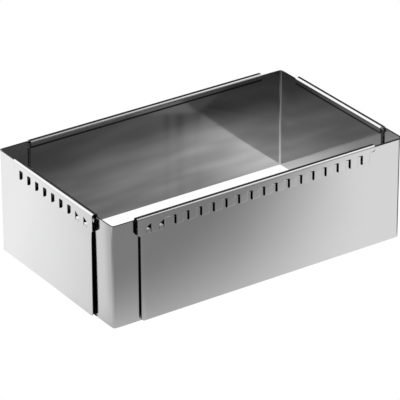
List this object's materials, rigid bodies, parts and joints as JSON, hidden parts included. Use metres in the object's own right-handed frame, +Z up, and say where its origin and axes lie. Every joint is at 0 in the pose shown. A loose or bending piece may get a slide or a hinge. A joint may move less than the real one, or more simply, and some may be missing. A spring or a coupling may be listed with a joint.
{
  "type": "adjustable cake frame",
  "caption": "Bottomless rectangular steel cake frame whose bent corner sheets slide in folded rails to change its length and width.",
  "frame": {"origin": "centre of the closed frame's foot, on the surface it stands on", "axes": "+X along the frame's length, +Y across its width, +Z up"},
  "size_m": [0.2518, 0.1514, 0.0812],
  "materials": {
    "outer_sheet": "bright rolled stainless steel, lightly brushed",
    "inner_sheet": "bright rolled stainless steel, lightly brushed"
  },
  "bodies": {
    "back_left_outer": {"back_left_outer_corner": "outer_sheet"},
    "back_right_inner": {"back_right_inner_corner": "inner_sheet"},
    "front_left_inner": {"front_left_inner_corner": "inner_sheet"},
    "front_right_outer": {"front_right_outer_corner": "outer_sheet"}
  },
  "joints": [
    {"name": "length_slide", "type": "slide", "parent": "back_left_outer", "child": "back_right_inner", "axis": [1, 0, 0], "range_m": [0, 0.1712]},
    {"name": "width_slide", "type": "slide", "parent": "back_left_outer", "child": "front_left_inner", "axis": [0, -1, 0], "range_m": [0, 0.0749]},
    {"name": "width_slide_right", "type": "slide", "parent": "back_right_inner", "child": "front_right_outer", "axis": [0, -1, 0], "range_m": [0, 0.0749]}
  ],
  "couplings": [
    {"joint": "width_slide_right", "follows": "width_slide", "ratio": 1}
  ]
}
